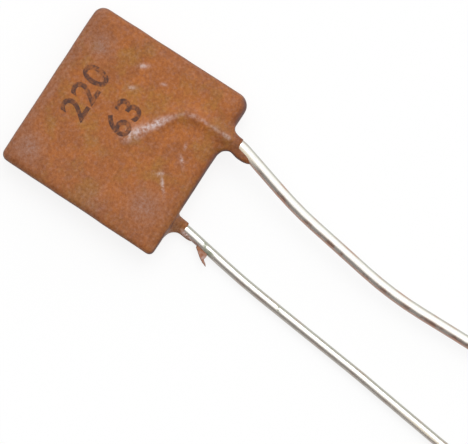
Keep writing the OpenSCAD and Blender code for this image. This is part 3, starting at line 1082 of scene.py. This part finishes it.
class CAPACITOR_OT_stage(Operator):
    """Set the floor, the light and the camera"""

    bl_idname = "capacitor.stage"
    bl_label = "Stage"

    # Where the light comes from: the right of the part, high up
    KEY_FROM = Vector((0.5, 0.12, 0.86)).normalized()
    SKY_FROM = (0.76, 0.08, 0.645)
    # Where the room turns from dim to bright, by how far a direction faces that way
    SKY_EDGE = (0.15, 0.42)
    # Distance of the lamp in metres, and tone of the floor's mottle
    LAMP_AWAY = 0.3
    MOTTLE_TONE = 0.985

    def floor(self, stage):
        """A pale floor under the part."""
        bpy.ops.object.select_all(action="DESELECT")
        bpy.ops.mesh.primitive_plane_add(size=6, location=(0, 0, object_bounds()[0].z))
        floor = bpy.context.object
        floor.name = "floor"
        bpy.ops.object.transform_apply(location=True, rotation=True, scale=True)
        material, tree, shader = new_finish("pale_floor")
        mottle = noise(tree, place_of(tree), size=6, detail=3)
        shade = [*(self.MOTTLE_TONE * part for part in stage.floor[:3]), 1.0]
        tint = over(tree, mottle, shade, stage.floor)
        fill(tree, shader, {"Base Color": tint, "Roughness": 0.9, "Specular IOR Level": 0.0})
        ray = put(tree, "LightPath", {}).outputs
        seen = sums(tree, "MAXIMUM", ray["Is Camera Ray"], ray["Is Glossy Ray"])
        seen = sums(tree, "MAXIMUM", seen, ray["Is Transmission Ray"])
        glow = put(tree, "Emission", {"Color": (1, 1, 1, 1), "Strength": 1.0}).outputs["Emission"]
        lift = sums(tree, "MULTIPLY", seen, stage.lift)
        both = put(tree, "MixShader", {0: lift, 1: shader.outputs["BSDF"], 2: glow})
        tree.links.new(both.outputs["Shader"], tree.nodes["Material Output"].inputs["Surface"])
        floor.data.materials.append(material)
        floor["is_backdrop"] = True

    def room(self, stage):
        """A soft room, bright above and to the right and dimmer to the left."""
        world = bpy.data.worlds.new("studio")
        bpy.context.scene.world = world
        world.use_nodes = True
        tree = world.node_tree
        way = put(tree, "TexCoord", {}).outputs["Generated"]
        facing = put(tree, "VectorMath", {0: way, 1: self.SKY_FROM}, operation="DOT_PRODUCT")
        light = band(tree, facing.outputs["Value"], *self.SKY_EDGE, reach=stage.sky, base=stage.shade)
        fill(tree, tree.nodes["Background"], {"Strength": light, "Color": (1, 1, 1, 1)})

    def execute(self, context):
        stage = context.scene.stage_settings
        self.floor(stage)
        self.room(stage)
        bpy.ops.object.light_add(type="SUN", location=self.KEY_FROM * self.LAMP_AWAY)
        lamp = context.object
        lamp.name = "key"
        lamp.rotation_euler = (-self.KEY_FROM).to_track_quat("-Z", "Y").to_euler()
        lamp.data.energy = stage.key
        lamp.data.angle = stage.key_spread
        above = (stage.aim_x, stage.aim_y, stage.distance)
        bpy.ops.object.camera_add(location=above, rotation=(0, 0, stage.roll))
        camera = context.object
        camera.data.sensor_width = 36
        camera.data.lens = camera.data.sensor_width * stage.distance / stage.frame_w
        camera.data.clip_start = 0.01
        camera.data.clip_end = 20
        context.scene.camera = camera
        context.scene.view_settings.view_transform = "Standard"
        return {"FINISHED"}


class CAPACITOR_PT_pieces(Panel):
    """Lists the pieces of the capacitor"""

    bl_label = "Plate Capacitor"
    bl_idname = "CAPACITOR_PT_pieces"
    bl_space_type = "VIEW_3D"
    bl_region_type = "UI"
    bl_category = "Capacitor"

    def draw(self, context):
        for operator in OPERATORS:
            self.layout.operator(operator.bl_idname)


GROUPS = {
    "coat_sizes": CoatSizes,
    "wire_sizes": WireSizes,
    "flake_sizes": FlakeSizes,
    "marking_sizes": MarkingSizes,
    "finishes": Finishes,
    "stage_settings": StageSettings,
}
OPERATORS = (
    CAPACITOR_OT_lacquer_coat,
    CAPACITOR_OT_wire_leads,
    CAPACITOR_OT_lacquer_flake,
    CAPACITOR_OT_value_marking,
    CAPACITOR_OT_inner_parts,
    CAPACITOR_OT_stage,
)


def register():
    for cls in (*GROUPS.values(), *OPERATORS, CAPACITOR_PT_pieces):
        bpy.utils.register_class(cls)
    for name, cls in GROUPS.items():
        setattr(bpy.types.Scene, name, PointerProperty(type=cls))


def unregister():
    for name in GROUPS:
        delattr(bpy.types.Scene, name)
    for cls in (CAPACITOR_PT_pieces, *OPERATORS, *GROUPS.values()):
        bpy.utils.unregister_class(cls)


def main():
    """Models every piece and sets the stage."""
    register()
    bpy.ops.capacitor.lacquer_coat()
    bpy.ops.capacitor.wire_leads()
    bpy.ops.capacitor.lacquer_flake()
    bpy.ops.capacitor.value_marking()
    bpy.ops.capacitor.inner_parts()
    bpy.ops.capacitor.stage()


if __name__ == "__main__":
    main()
